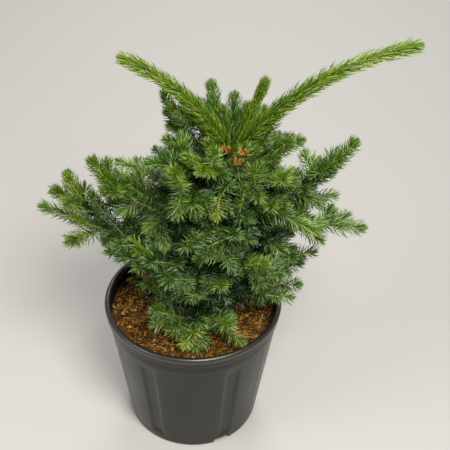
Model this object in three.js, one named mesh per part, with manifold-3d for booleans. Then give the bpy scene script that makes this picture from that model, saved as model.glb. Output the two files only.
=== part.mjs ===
import * as THREE from 'three';
import { mergeVertices } from 'three/addons/utils/BufferGeometryUtils.js';
import Module from 'manifold-3d';

// A young, irregular blue spruce in a round ten litre nursery pot, in millimetres and degrees.
// The origin is the middle of the pot's flat underside and +Z is up. The plant's front faces -Y.
// A heading turns from +X (0) through +Y (90), and a climb is the angle above the horizontal.

const wasm = await Module();
wasm.setup();

// Driving sizes

const gap = 0.3; // between two pieces that touch on the real plant

const pot = {
  height: 236.5,
  rimRadius: 140,
  baseRadius: 107,
  wall: 2.4,
  cornerHeight: 8,
  shoulderHeight: 200, // where the fluted side ends
  shoulderRadius: 134.5,
  bandHeight: 218, // the lower edge of the plain band under the rim
  bandRadius: 138.6,
  fluteDepth: 2.6,
  flutes: 6,
};

const drain = { width: 27, height: 11, flutes: [1, 3, 5] };

const soil = { top: 214, footHeight: 217, footRadius: 22, unevenness: 2.2 };

const trunk = {
  foot: new THREE.Vector3(0, 0, soil.footHeight + gap),
  heading: 0,
  climb: 76,
  curl: 8,
  length: 311,
  radii: [[0, 17], [0.035, 13], [0.12, 10.8], [0.4, 8.8], [0.75, 6.6], [1, 5]],
};

const bough = { rootRadius: 4.4, tipRadius: 2.9, sides: 6 };

const twig = { stemRadius: 1.8, coreRadius: 8, stemLength: 42, leaderSides: 5, sideSides: 4 };

const needle = { length: 25, rootRadius: 2.9, spacing: 21, lean: 48, turn: 137.5, clearRadius: 1.6 };

// Side twigs stand along the first part of a leader, left and right in turn
const fork = { first: 0.04, reach: 0.68, angle: 50, angleSpread: 30, rollSpread: 140, curl: 12 };

// Masses of foliage that spring from the trunk itself. up is measured along the trunk from the soil.
const trunkMasses = [
  {
    name: 'shoot_long_right',
    up: 284, heading: 0, climb: 64, length: 331, curl: -50, slim: 0.62,
  },
  {
    name: 'shoot_long_left',
    up: 301, heading: 184, climb: 68.5, length: 225, curl: -42, slim: 0.68,
  },
  {
    name: 'shoot_upright_left',
    up: 285, heading: 114, climb: 50.5, length: 120, curl: 10, slim: 0.8,
  },
  {
    name: 'shoots_upright_middle',
    up: 297, heading: 83, climb: 61, length: 91, slim: 0.76,
    twigs: 1, reach: 60, seed: 248,
  },
  {
    name: 'shoot_upright_right',
    up: 302, heading: 333, climb: 68, length: 147, curl: 4, slim: 0.58,
  },
  {
    name: 'foliage_upper_right',
    up: 275, heading: 9, climb: 17, length: 117, curl: 12, slim: 0.85,
    twigs: 3, reach: 88, seed: 100,
  },
  {
    name: 'foliage_upper_right_front',
    up: 267, heading: 332, climb: 11.5, length: 114, curl: 4, slim: 0.85,
    twigs: 3, reach: 88, seed: 11,
  },
  {
    name: 'foliage_upper_left',
    up: 260, heading: 142, climb: 27, length: 134, curl: 10, slim: 0.9,
    twigs: 4, reach: 88, seed: 87,
  },
  {
    name: 'foliage_upper_left_steep',
    up: 272, heading: 140, climb: 47, length: 129, slim: 0.82,
    twigs: 2, reach: 88, seed: 242,
  },
  {
    name: 'foliage_hanging_front',
    up: 272, heading: 261, climb: 8, length: 96, curl: -30, slim: 0.85,
    twigs: 3, reach: 60, seed: 150,
  },
  {
    name: 'foliage_upper_front',
    up: 286, heading: 249, climb: 22, length: 117, curl: 14, slim: 0.85,
    twigs: 4, reach: 60, seed: 147,
  },
  {
    name: 'foliage_upper_back_right',
    up: 281, heading: 62, climb: 16, length: 117, curl: 10, slim: 0.85,
    twigs: 4, reach: 88, seed: 200,
  },
  {
    name: 'foliage_upper_back_left',
    up: 252, heading: 98, climb: 18.5, length: 137, curl: 10, slim: 0.85,
    twigs: 4, reach: 88, seed: 108,
  },
];

// Masses that a bough carries: its place on the trunk, its run, and the leader that goes on from its tip
const boughMasses = [
  {
    name: 'left_mid',
    limb: { up: 185, heading: 205, climb: 16, length: 49 },
    mass: { heading: 188, climb: 16, length: 186, curl: 49, twigs: 6, reach: 60, seed: 46 },
  },
  {
    name: 'front_upper_left',
    limb: { up: 239, heading: 221, climb: 21, length: 42 },
    mass: { heading: 240, climb: 24, length: 117, curl: 50, twigs: 4, reach: 88, seed: 119 },
  },
  {
    name: 'left_low',
    limb: { up: 85, heading: 180, climb: 19, length: 69 },
    mass: { heading: 180, climb: 23, length: 213, curl: 50, twigs: 6, reach: 90, seed: 157 },
  },
  {
    name: 'right_mid',
    limb: { up: 185, heading: 0, climb: 25, length: 59 },
    mass: { heading: 0, climb: 25, length: 187, curl: 31, twigs: 6, reach: 60, seed: 339 },
  },
  {
    name: 'right_reach',
    limb: { up: 148, heading: 359, climb: 17, length: 62 },
    mass: { heading: 354, climb: 17, length: 167, curl: -19, twigs: 6, reach: 60, seed: 5 },
  },
  {
    name: 'front_upper_right',
    limb: { up: 212, heading: 318, climb: 24, length: 34 },
    mass: { heading: 323, climb: 24, length: 98, curl: 2, twigs: 4, reach: 88, seed: 164 },
  },
  {
    name: 'right_low',
    limb: { up: 67, heading: 0, climb: 16, length: 50 },
    mass: { heading: 0, climb: 16, length: 110, curl: 0, twigs: 5, reach: 60, seed: 48 },
  },
  {
    name: 'front_right_low',
    limb: { up: 40, heading: 344, climb: 16, length: 52 },
    mass: { heading: 352, climb: 16, length: 112, curl: -6, twigs: 5, reach: 60, seed: 1 },
  },
  {
    name: 'front_right_mid',
    limb: { up: 81, heading: 301, climb: 35, length: 34 },
    mass: { heading: 324, climb: 35, length: 116, curl: 0, twigs: 5, reach: 75, seed: 78 },
  },
  {
    name: 'front_left_mid',
    limb: { up: 103, heading: 214, climb: 22, length: 50 },
    mass: { heading: 242, climb: 31, length: 118, curl: 10, twigs: 5, reach: 88, seed: 232 },
  },
  {
    name: 'front_mid',
    limb: { up: 164, heading: 295, climb: 32, length: 41 },
    mass: { heading: 280, climb: 32, length: 100, curl: 9, twigs: 5, reach: 88, seed: 44 },
  },
  {
    name: 'front_low',
    limb: { up: 17, heading: 296, climb: 26, length: 45 },
    mass: { heading: 247, climb: -1, length: 83, curl: -25, twigs: 6, reach: 88, seed: 40 },
  },
  {
    name: 'front_left_low',
    limb: { up: 25, heading: 231, climb: 30, length: 40 },
    mass: { heading: 230, climb: 30, length: 56, curl: -8, twigs: 5, reach: 88, seed: 40 },
  },
  {
    name: 'back_upper_left',
    limb: { up: 202, heading: 153, climb: 13, length: 49 },
    mass: { heading: 156, climb: 13, length: 128, curl: -6, twigs: 5, reach: 60, seed: 35 },
  },
  {
    name: 'back_left_low',
    limb: { up: 107, heading: 148, climb: 14, length: 54 },
    mass: { heading: 152, climb: 10, length: 150, curl: 12, twigs: 5, reach: 75, seed: 106 },
  },
  {
    name: 'back_right_low',
    limb: { up: 30, heading: 40, climb: 13, length: 42 },
    mass: { heading: 30, climb: 13, length: 143, curl: 8, twigs: 5, reach: 60, seed: 32 },
  },
  {
    name: 'back_far_left_low',
    limb: { up: 36, heading: 127, climb: 12, length: 42 },
    mass: { heading: 137, climb: 12, length: 138, curl: 8, twigs: 5, reach: 60, seed: 95 },
  },
  {
    name: 'back_low',
    limb: { up: 56, heading: 85, climb: 12, length: 41 },
    mass: { heading: 83, climb: 12, length: 150, curl: 9, twigs: 5, reach: 75, seed: 192 },
  },
  {
    name: 'back_right_mid',
    limb: { up: 111, heading: 30, climb: 18, length: 44 },
    mass: { heading: 28, climb: 18, length: 166, curl: 19, twigs: 5, reach: 60, seed: 228 },
  },
  {
    name: 'back_mid',
    limb: { up: 132, heading: 74, climb: 15, length: 43 },
    mass: { heading: 76, climb: 15, length: 163, curl: 16, twigs: 5, reach: 88, seed: 4 },
  },
  {
    name: 'back_left_mid',
    limb: { up: 154, heading: 117, climb: 13, length: 45 },
    mass: { heading: 123, climb: 9, length: 150, curl: 8, twigs: 5, reach: 60, seed: 117 },
  },
  {
    name: 'back_upper',
    limb: { up: 202, heading: 57, climb: 19, length: 37 },
    mass: { heading: 53, climb: 16, length: 122, curl: 12, twigs: 5, reach: 60, seed: 11 },
  },
];

// Colours

const material = (color, roughness) => new THREE.MeshStandardMaterial({ color, roughness, metalness: 0 });

const colours = {
  pot: [0x35352f, 0.45],
  soil: [0x6b3c1a, 0.95],
  bark: [0x6a5138, 0.9],
  fresh: [0x6f9c33, 0.6],
  green: [0x3f7238, 0.6],
};

// Solids

// A closed body from a geometry, with shared corners and its faces turned outwards
function toSolid(geometry) {
  const bare = geometry.clone();
  bare.deleteAttribute('normal');
  bare.deleteAttribute('uv');
  const joined = mergeVertices(bare, 1e-4);
  const corners = [];
  for (let i = 0; i < joined.index.count; i += 3) {
    const [a, b, c] = [0, 1, 2].map((k) => joined.index.getX(i + k));
    if (a !== b && b !== c && c !== a) corners.push([a, b, c]);
  }
  const p = new THREE.Vector3();
  const q = new THREE.Vector3();
  const r = new THREE.Vector3();
  let volume = 0;
  for (const [a, b, c] of corners) {
    p.fromBufferAttribute(joined.attributes.position, a);
    q.fromBufferAttribute(joined.attributes.position, b);
    r.fromBufferAttribute(joined.attributes.position, c);
    volume += p.dot(q.cross(r));
  }
  const outward = volume > 0 ? corners : corners.map(([a, b, c]) => [a, c, b]);
  return new wasm.Manifold(new wasm.Mesh({
    numProp: 3,
    vertProperties: new Float32Array(joined.attributes.position.array),
    triVerts: new Uint32Array(outward.flat()),
  }));
}

// The largest closed body of a solid, which drops any scrap that a cut leaves
function largestPart(solid) {
  const parts = solid.decompose();
  parts.sort((a, b) => b.volume() - a.volume());
  return parts[0];
}

function toMesh(name, solid, look) {
  const { vertProperties, triVerts } = solid.getMesh();
  const geometry = new THREE.BufferGeometry();
  geometry.setAttribute('position', new THREE.BufferAttribute(new Float32Array(vertProperties), 3));
  geometry.setIndex(new THREE.BufferAttribute(new Uint32Array(triVerts), 1));
  geometry.computeVertexNormals();
  const mesh = new THREE.Mesh(geometry, material(...look));
  mesh.name = name;
  return mesh;
}

// Runs of wood

function direction(heading, climb) {
  const h = THREE.MathUtils.degToRad(heading);
  const c = THREE.MathUtils.degToRad(climb);
  return new THREE.Vector3(Math.cos(h) * Math.cos(c), Math.sin(h) * Math.cos(c), Math.sin(c));
}

// A run that starts at a point and turns evenly by its curl as it goes, in equal straight steps
function walk(start, { heading, climb, length, curl = 0 }) {
  const steps = Math.max(3, Math.round(length / 26));
  const points = [start.clone()];
  for (let i = 0; i < steps; i += 1) {
    const step = direction(heading, climb + (curl * (i + 0.5)) / steps).multiplyScalar(length / steps);
    points.push(points[i].clone().add(step));
  }
  return { points, length };
}

function placeOn({ points }, share) {
  const along = THREE.MathUtils.clamp(share, 0, 1) * (points.length - 1);
  const i = Math.min(Math.floor(along), points.length - 2);
  return points[i].clone().lerp(points[i + 1], along - i);
}

function headingOn({ points }, share) {
  const i = Math.min(Math.floor(share * (points.length - 1)), points.length - 2);
  return points[i + 1].clone().sub(points[i]).normalize();
}

// The two directions across a run, kept from one reference so that its rings don't twist
function across(along, run) {
  const steep = Math.abs(headingOn(run, 0.5).z) > 0.9;
  const reference = steep ? new THREE.Vector3(1, 0, 0) : new THREE.Vector3(0, 0, 1);
  const side = new THREE.Vector3().crossVectors(along, reference).normalize();
  const up = new THREE.Vector3().crossVectors(side, along).normalize();
  return { side, up };
}

// A round limb along a run. rings holds [share of its length, radius], and a last radius of 0 is a tip.
// A level foot is cut flat, as on the trunk.
function limb(run, rings, sides, levelFoot = false) {
  const profile = [new THREE.Vector2(0, 0)];
  for (const [share, radius] of rings) profile.push(new THREE.Vector2(radius, share));
  if (rings.at(-1)[1] > 0) profile.push(new THREE.Vector2(0, 1));
  const geometry = new THREE.LatheGeometry(profile, sides);
  const { position } = geometry.attributes;
  for (let i = 0; i < position.count; i += 1) {
    const share = position.getY(i);
    const { side, up } = across(headingOn(run, share), run);
    const place = placeOn(run, share);
    place.addScaledVector(side, -position.getX(i)).addScaledVector(up, position.getZ(i));
    const height = levelFoot && share === 0 ? run.points[0].z : place.z;
    position.setXYZ(i, place.x, place.y, height);
  }
  return geometry;
}

// Clearance between pieces

const taken = []; // the straight stretches that finished pieces fill, each with its owner

function closest(a, b) {
  const u = a.end.clone().sub(a.start);
  const v = b.end.clone().sub(b.start);
  const w = a.start.clone().sub(b.start);
  const uu = u.dot(u);
  const uv = u.dot(v);
  const vv = v.dot(v);
  const uw = u.dot(w);
  const vw = v.dot(w);
  const spread = uu * vv - uv * uv;
  let s = spread > 1e-9 ? THREE.MathUtils.clamp((uv * vw - vv * uw) / spread, 0, 1) : 0;
  const t = THREE.MathUtils.clamp((uv * s + vw) / vv, 0, 1);
  s = THREE.MathUtils.clamp((uv * t - uw) / uu, 0, 1);
  return w.addScaledVector(u, s).addScaledVector(v, -t).length();
}

function isClear(stretch) {
  return taken.every((other) => other.owner === stretch.owner
    || closest(stretch, other) > stretch.radius + other.radius + 2 * gap);
}

// The pot's wall and the soil, which no shoot may enter
function isOutsidePot(point, radius) {
  const reach = Math.hypot(point.x, point.y);
  if (reach < pot.rimRadius - 10) return point.z - radius > soil.footHeight + gap;
  return reach > pot.rimRadius + 5 || point.z - radius > pot.height + gap;
}

function stretchesOf(run, rings, owner, skip = 0) {
  const parts = Math.max(4, Math.round(run.length / 12));
  const list = [];
  for (let i = 0; i < parts; i += 1) {
    const [low, high] = [i / parts, (i + 1) / parts];
    if (high * run.length > skip) {
      const start = placeOn(run, Math.max(low, skip / run.length));
      const radius = Math.max(radiusOn(rings, low), radiusOn(rings, high));
      list.push({ start, end: placeOn(run, high), radius, owner });
    }
  }
  return list;
}

function radiusOn(rings, share) {
  const next = rings.findIndex(([at]) => at >= share);
  if (next <= 0) return rings[Math.max(next, 0)][1];
  const [[low, from], [high, to]] = [rings[next - 1], rings[next]];
  return THREE.MathUtils.lerp(from, to, (share - low) / (high - low));
}

// The seeded rule

function makeRandom(seed) {
  let state = seed >>> 0;
  const next = () => {
    state = (Math.imul(state, 1664525) + 1013904223) >>> 0;
    return state / 4294967296;
  };
  next();
  next();
  return next;
}

// The runs of one mass: its leader first, then its side twigs
function growRuns(start, mass) {
  const { twigs = 0, reach = 75, seed = 1 } = mass;
  const random = makeRandom(seed);
  const leader = walk(start, mass);
  const runs = [leader];
  for (let i = 0; i < twigs; i += 1) {
    const share = fork.first + (fork.reach * (i + random())) / twigs;
    const along = headingOn(leader, share);
    const { side, up } = across(along, leader);
    const hand = i % 2 === 0 ? 1 : -1;
    const roll = THREE.MathUtils.degToRad(hand * (90 + fork.rollSpread * (random() - 0.5)));
    const away = THREE.MathUtils.degToRad(fork.angle + fork.angleSpread * (random() - 0.5));
    const length = reach * (0.75 + 0.5 * random()) * (1 - 0.3 * share);
    const out = up.multiplyScalar(Math.cos(roll)).addScaledVector(side, Math.sin(roll));
    const aim = along.multiplyScalar(Math.cos(away)).addScaledVector(out, Math.sin(away));
    const heading = THREE.MathUtils.radToDeg(Math.atan2(aim.y, aim.x));
    const climb = THREE.MathUtils.radToDeg(Math.asin(aim.z));
    runs.push(walk(placeOn(leader, share), { heading, climb, length, curl: fork.curl }));
  }
  return runs;
}

function coreRings(length, slim) {
  const core = twig.coreRadius * slim;
  const early = Math.min(0.45, twig.stemLength / length);
  const rings = [[0, twig.stemRadius], [early, core]];
  const steps = Math.round(length / 90) - 1;
  for (let i = 1; i <= steps; i += 1) rings.push([early + ((0.92 - early) * i) / (steps + 1), core]);
  rings.push([0.92, core * 0.8], [1, 0]);
  return rings;
}

// The needles of one shoot stand round it in a spiral, each in the middle of the nearest face of the core,
// and lean towards its tip
function needleSolids(run, sides, owner, slim) {
  const solids = [];
  const count = Math.round((run.length - 14) / needle.spacing);
  for (let i = 0; i < count; i += 1) {
    const share = (12 + (i + 0.5) * needle.spacing) / run.length;
    const along = headingOn(run, share);
    const { side, up } = across(along, run);
    const face = Math.round((needle.turn * i * sides) / 360);
    const turn = THREE.MathUtils.degToRad(((face + 0.5) * 360) / sides + 90);
    const lean = THREE.MathUtils.degToRad(needle.lean * (1 - 0.45 * share ** 3) * (0.4 + 0.6 * slim));
    const aim = along.multiplyScalar(Math.cos(lean));
    aim.addScaledVector(side, Math.sin(lean) * Math.cos(turn));
    aim.addScaledVector(up, Math.sin(lean) * Math.sin(turn));
    const root = placeOn(run, share);
    const tip = root.clone().addScaledVector(aim, needle.length);
    const free = { start: root.clone().lerp(tip, 0.2), end: tip, radius: needle.clearRadius, owner };
    if (isOutsidePot(tip, needle.clearRadius) && isClear(free)) {
      const cone = new THREE.ConeGeometry(needle.rootRadius, needle.length, 3, 1);
      cone.translate(0, needle.length / 2, 0);
      cone.applyQuaternion(new THREE.Quaternion().setFromUnitVectors(new THREE.Vector3(0, 1, 0), aim));
      cone.translate(root.x, root.y, root.z);
      solids.push(toSolid(cone));
      taken.push(free);
    }
  }
  return solids;
}

// Pot

// A lathe form with +Z up and its seam at 0 degrees, whose corners are then moved by
// reshape(angle, radius, height)
function turned(profile, sides, reshape) {
  const geometry = new THREE.LatheGeometry(profile.map(([r, z]) => new THREE.Vector2(r, z)), sides);
  geometry.rotateX(Math.PI / 2);
  geometry.rotateZ(Math.PI / 2);
  const { position } = geometry.attributes;
  for (let i = 0; i < position.count; i += 1) {
    const [x, y, z] = [position.getX(i), position.getY(i), position.getZ(i)];
    const [angle, radius, height] = reshape(Math.atan2(y, x), Math.hypot(x, y), z);
    position.setXYZ(i, radius * Math.cos(angle), radius * Math.sin(angle), height);
  }
  return geometry;
}

// One sixth of the pot's side: a sunk flute about 0 degrees, then a wide panel with a soft ridge
const flute = { sides: 7, degrees: [-6.5, -4, 4, 6.5, 19, 30, 41], sunk: [0, 1, 1, 0, 0, -0.2, 0] };

function fluted(angle, radius, height) {
  const sector = (2 * Math.PI) / pot.flutes;
  const step = Math.round((angle / sector) * flute.sides);
  const k = ((step % flute.sides) + flute.sides) % flute.sides;
  const base = Math.floor(step / flute.sides) * sector;
  const low = THREE.MathUtils.smoothstep(height, 14, 26);
  const high = 1 - THREE.MathUtils.smoothstep(height, pot.shoulderHeight - 12, pot.shoulderHeight - 2);
  const sunk = radius > pot.baseRadius - 3 ? flute.sunk[k] * pot.fluteDepth * low * high : 0;
  return [base + THREE.MathUtils.degToRad(flute.degrees[k]), radius - sunk, height];
}

const sideAt = (z) => THREE.MathUtils.mapLinear(
  z, pot.cornerHeight, pot.shoulderHeight, pot.baseRadius, pot.shoulderRadius,
);

function potProfile() {
  const outer = [
    [0, 0],
    [pot.baseRadius - 4, 0],
    [pot.baseRadius, pot.cornerHeight],
    [sideAt(14), 14],
    [sideAt(26), 26],
    [sideAt(188), 188],
    [sideAt(198), 198],
    [pot.shoulderRadius + 1.6, pot.shoulderHeight + 1],
    [pot.shoulderRadius + 2, pot.bandHeight - 0.5],
    [pot.bandRadius, pot.bandHeight + 0.5],
    [pot.bandRadius + 0.4, pot.height - 7.5],
    [pot.rimRadius, pot.height - 5],
    [pot.rimRadius - 1, pot.height - 1],
  ];
  const inner = [
    [pot.rimRadius - 4.6, pot.height - 0.4],
    [pot.rimRadius - 6.6, pot.height - 4.5],
    [pot.shoulderRadius - pot.wall + 0.4, pot.shoulderHeight - 2],
    [sideAt(188) - pot.wall, 188],
    [sideAt(26) - pot.wall, 26],
    [sideAt(10) - pot.wall - 1, 10],
    [pot.baseRadius - 10, 3],
    [0, 3],
  ];
  return [...outer, ...inner];
}

// A drain slot cut through the lower corner of the wall at some of the flutes
function drainCutter(k) {
  const box = new THREE.BoxGeometry(26, drain.width, drain.height * 2);
  box.translate(pot.baseRadius + 5, 0, 0);
  box.rotateZ((k * 2 * Math.PI) / pot.flutes + THREE.MathUtils.degToRad(-2));
  return toSolid(box);
}

function potSolid() {
  let solid = toSolid(turned(potProfile(), pot.flutes * flute.sides, fluted));
  for (const k of drain.flutes) solid = solid.subtract(drainCutter(k));
  return solid;
}

// Growing medium, which fills the pot to just under its shoulder

function uneven(angle, radius, height) {
  const [turn] = fluted(angle, 0, height);
  if (height < soil.top - 1) return [turn, radius, height];
  const rough = Math.sin(5 * turn + radius * 0.09) + 0.7 * Math.cos(8 * turn - radius * 0.14);
  const inside = radius > soil.footRadius + 1 ? 1 : 0;
  return [turn, radius, height + inside * rough * soil.unevenness * 0.5];
}

function soilSolid() {
  const clear = pot.wall + pot.fluteDepth + gap;
  const wallTop = pot.shoulderRadius - pot.wall - gap;
  return toSolid(turned([
    [0, 3 + gap],
    [pot.baseRadius - 12, 3 + gap],
    [sideAt(26) - clear, 26],
    [sideAt(188) - clear, 188],
    [wallTop, pot.shoulderHeight],
    [wallTop, soil.top],
    [100, soil.top],
    [60, soil.top + 1],
    [soil.footRadius, soil.footHeight],
    [0, soil.footHeight],
  ], pot.flutes * flute.sides, uneven));
}

// Plant

const trunkRun = walk(trunk.foot, trunk);

function trunkSolid(extra) {
  const rings = trunk.radii.map(([share, radius]) => [share, radius + extra]);
  return toSolid(limb(trunkRun, rings, 10, true));
}

function boughRings(extra) {
  const middle = (bough.rootRadius + bough.tipRadius) / 2;
  return [[0, bough.rootRadius + extra], [0.5, middle + extra], [1, bough.tipRadius + extra]];
}

const plant = new THREE.Group();
plant.add(toMesh('pot', potSolid(), colours.pot));
plant.add(toMesh('growing_medium', soilSolid(), colours.soil));
plant.add(toMesh('trunk', trunkSolid(0), colours.bark));
const trunkSleeve = trunkSolid(gap);
taken.push(...stretchesOf(trunkRun, trunk.radii, 'trunk'));

// Boughs first, so that every mass keeps clear of them. A sleeve cuts each mass just clear of what carries it.
const masses = [];

for (const { name, limb: shape, mass } of boughMasses) {
  const run = walk(placeOn(trunkRun, shape.up / trunk.length), shape);
  const solid = toSolid(limb(run, boughRings(0), bough.sides)).subtract(trunkSleeve);
  plant.add(toMesh(`bough_${name}`, largestPart(solid), colours.bark));
  taken.push(...stretchesOf(run, boughRings(0), `bough_${name}`, 12));
  const longer = walk(run.points[0], { ...shape, length: shape.length + gap });
  const sleeve = toSolid(limb(longer, boughRings(gap), bough.sides));
  masses.push({ ...mass, name: `foliage_${name}`, start: run.points.at(-1), sleeve, inside: 0 });
}

for (const mass of trunkMasses) {
  const start = placeOn(trunkRun, mass.up / trunk.length);
  masses.push({ ...mass, start, sleeve: trunkSleeve, inside: 7 });
}

// Every leader takes its place before any side twig does, and a side twig with no room is left out
for (const mass of masses) {
  const leader = walk(mass.start, mass);
  taken.push(...stretchesOf(leader, coreRings(leader.length, mass.slim ?? 1), mass.name, mass.inside));
}

for (const mass of masses) {
  const slim = mass.slim ?? 1;
  mass.runs = growRuns(mass.start, mass).filter((run, i) => {
    if (i === 0) return true;
    const stretches = stretchesOf(run, coreRings(run.length, slim), mass.name);
    const free = stretches.every((s) => isClear(s) && isOutsidePot(s.end, s.radius));
    if (free) taken.push(...stretches);
    return free;
  });
}

for (const mass of masses) {
  const slim = mass.slim ?? 1;
  const pieces = [];
  for (const [i, run] of mass.runs.entries()) {
    const sides = i === 0 ? twig.leaderSides : twig.sideSides;
    pieces.push(toSolid(limb(run, coreRings(run.length, slim), sides)));
    pieces.push(...needleSolids(run, sides, mass.name, slim));
  }
  const solid = wasm.Manifold.union(pieces).subtract(mass.sleeve);
  const look = mass.name.startsWith('shoot') ? colours.fresh : colours.green;
  plant.add(toMesh(mass.name, largestPart(solid), look));
}

export default plant;
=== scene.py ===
from math import asin, atan2, cos, degrees, exp, floor, hypot, pi, radians, sin, sqrt

import bmesh
import bpy
import numpy as np
from mathutils import Matrix, Vector, noise


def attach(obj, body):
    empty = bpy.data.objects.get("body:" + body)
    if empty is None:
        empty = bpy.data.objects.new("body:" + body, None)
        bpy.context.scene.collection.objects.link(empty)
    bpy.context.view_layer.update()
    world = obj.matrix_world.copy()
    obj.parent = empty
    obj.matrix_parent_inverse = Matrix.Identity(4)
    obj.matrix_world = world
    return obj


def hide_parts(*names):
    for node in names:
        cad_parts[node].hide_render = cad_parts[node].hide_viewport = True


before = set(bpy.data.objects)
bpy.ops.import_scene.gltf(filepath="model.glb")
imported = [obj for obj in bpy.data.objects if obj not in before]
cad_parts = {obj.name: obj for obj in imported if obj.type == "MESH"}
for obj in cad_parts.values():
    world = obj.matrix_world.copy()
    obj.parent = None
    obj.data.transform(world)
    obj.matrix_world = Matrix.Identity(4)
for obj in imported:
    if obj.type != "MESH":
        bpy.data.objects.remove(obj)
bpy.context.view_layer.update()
scene = bpy.context.scene
mm = 0.001  # the plant is grown in millimetres, and its meshes are in metres
print("frame loaded")


class Plan(dict):  # settings that are read as plan.name
    __getattr__ = dict.__getitem__
    __setattr__ = dict.__setitem__


def addObject(name, data):
    body = bpy.data.objects.new(name, data)
    scene.collection.objects.link(body)
    return body


# Camera and light

camera = Plan(place=(0.048, -1.24, 1.382), down=38.76, roll=1.3, lens=84.2, sensor=36, nearest=0.05)
light = Plan(
    sky=(0.97, 0.98, 1.0), skyStrength=0.3,
    lamps=(  # name, place, aims at, size, power, colour
        ("ceiling", (0.5, -1.25, 2.15), (0, 0, 0.35), 0.9, 51, (1.0, 0.98, 0.94)),
        ("side", (-1.7, -0.9, 1.3), (0, 0, 0.35), 1.2, 14, (1.0, 0.98, 0.95)),
        ("back", (0.1, 1.9, 1.9), (0.1, 1.45, 0), 1.2, 19, (1.0, 1.0, 1.0)),
    ),
)


def makeCamera():
    data = bpy.data.cameras.new("camera")
    data.lens, data.sensor_width, data.clip_start = camera.lens, camera.sensor, camera.nearest
    scene.camera = addObject("camera", data)
    tilt = Matrix.Rotation(radians(90 - camera.down), 4, "X")
    roll = Matrix.Rotation(radians(camera.roll), 4, "Z")
    scene.camera.matrix_world = Matrix.Translation(camera.place) @ tilt @ roll


def makeLight():
    scene.world = bpy.data.worlds.new("studio")
    scene.world.use_nodes = True
    inputs = scene.world.node_tree.nodes["Background"].inputs
    inputs["Color"].default_value = (*light.sky, 1)
    inputs["Strength"].default_value = light.skyStrength
    for name, place, aim, size, power, colour in light.lamps:
        data = bpy.data.lights.new(name, "AREA")
        data.shape, data.size, data.energy, data.color = "DISK", size, power, colour
        lamp = addObject(name, data)
        lamp.location = place
        lamp.rotation_euler = (Vector(aim) - Vector(place)).to_track_quat("-Z", "Y").to_euler()
    scene.view_settings.view_transform = "Standard"


makeCamera()
makeLight()
print("camera and light made")


# Node trees

class NodeTree:  # short ways to add and join the nodes of a tree with named inputs
    def __init__(self, tree, inputs=None, outputs=None):
        self.tree = tree
        for way, sockets in (("INPUT", inputs), ("OUTPUT", outputs)):
            for label, value in (sockets or {}).items():
                kind = {int: "Int", float: "Float"}.get(type(value), "Geometry")
                socket = tree.interface.new_socket(label, in_out=way, socket_type="NodeSocket" + kind)
                if kind != "Geometry":
                    socket.default_value = value
        if inputs:
            self.entry, self.leave = tree.nodes.new("NodeGroupInput"), tree.nodes.new("NodeGroupOutput")

    def __getitem__(self, label):
        return self.entry.outputs[label]

    def pick(self, sockets, key):
        return sockets[key] if isinstance(key, int) else next(s for s in sockets if s.name == key and s.enabled)

    def add(self, kind, *values, **named):  # inputs by place or by their capital names
        plain = kind.startswith(("Shader", "Function"))
        node = self.tree.nodes.new(kind if plain else "GeometryNode" + kind)
        inputs = dict(enumerate(values))
        for key, value in named.items():
            if key[0].isupper():
                inputs[key.replace("_", " ")] = value
            else:
                setattr(node, key, value)
        for key, value in inputs.items():
            socket = self.pick(node.inputs, key)
            if isinstance(value, bpy.types.NodeSocket):
                self.tree.links.new(value, socket)
            else:
                socket.default_value = value
        return node

    def put(self, kind, *values, **named):  # gives the node's first output
        return next(s for s in self.add(kind, *values, **named).outputs if s.enabled)

    def calc(self, operation, *values):
        return self.put("ShaderNodeMath", *values, operation=operation)

    def times(self, a, b):
        return self.calc("MULTIPLY", a, b)

    def scaled(self, a, b, c):  # a times b, plus c
        return self.calc("MULTIPLY_ADD", a, b, c)

    def vector(self, *values):
        return self.put("ShaderNodeCombineXYZ", *values)

    def parts(self, vector):
        return self.add("ShaderNodeSeparateXYZ", vector).outputs

    def named(self, label, kind="FLOAT"):
        return self.put("InputNamedAttribute", label, data_type=kind)

    def store(self, shape, label, value, kind="FLOAT"):
        return self.put("StoreNamedAttribute", shape, Name=label, Value=value, data_type=kind, domain="POINT")

    def chance(self, low, high, number):  # the numbered draw of each point
        seed = self.calc("ADD", self["Seed"], number)
        return self.put("FunctionNodeRandomValue", Min=low, Max=high, Seed=seed, data_type="FLOAT")

    def finish(self, *results):
        for number, result in enumerate(results):
            self.tree.links.new(result, self.leave.inputs[number])
        return self

    def deal(self, shape, materials, pale=()):  # each face gets its tint's material; faces that look up past the pale limit get the pale one, a painted highlight mixed with the needles' waxy bloom
        shape = self.put("RealizeInstances", shape)
        facing = self.parts(self.put("InputNormal"))[2]
        tint = self.calc("ROUND", self.named("tint"))
        for isPale, choices in enumerate((materials, pale)):
            for number, material in enumerate(choices):
                chosen = self.calc("COMPARE", tint, float(number), 0.4)
                if isPale:
                    # painted highlight: how far a face looks up, shifted at random for each needle as its bloom
                    bright = self.calc("ADD", facing, self.named("bloom"))
                    chosen = self.times(chosen, self.calc("GREATER_THAN", bright, self["Pale Limit"]))
                shape = self.put("SetMaterial", shape, chosen, material)
        return self.finish(shape)


def shapeTree(name, values):
    tree = bpy.data.node_groups.new(name, "GeometryNodeTree")
    return NodeTree(tree, {"Geometry": None, **values}, {"Geometry": None})


def runTree(piece, tree, **values):  # and keep the shape as a plain mesh
    modifier = piece.modifiers.new(tree.tree.name, "NODES")
    modifier.node_group = tree.tree
    for item in tree.tree.interface.items_tree:
        if item.in_out == "INPUT" and item.name in values:
            modifier[item.identifier] = values[item.name]
    return applyModifiers(piece)


# Materials

def plainMaterial(name, colour, roughness=0.5, gloss=0.5):
    material = bpy.data.materials.new(name)
    material.use_nodes = True
    inputs = material.node_tree.nodes["Principled BSDF"].inputs
    for label, value in (("Base Color", (*colour, 1)), ("Roughness", roughness), ("Specular IOR Level", gloss)):
        inputs[label].default_value = value
    return material


def plainMaterials(prefix, colours, *finish):
    return [plainMaterial(prefix + name, colour, *finish) for name, colour in colours.items()]


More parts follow.
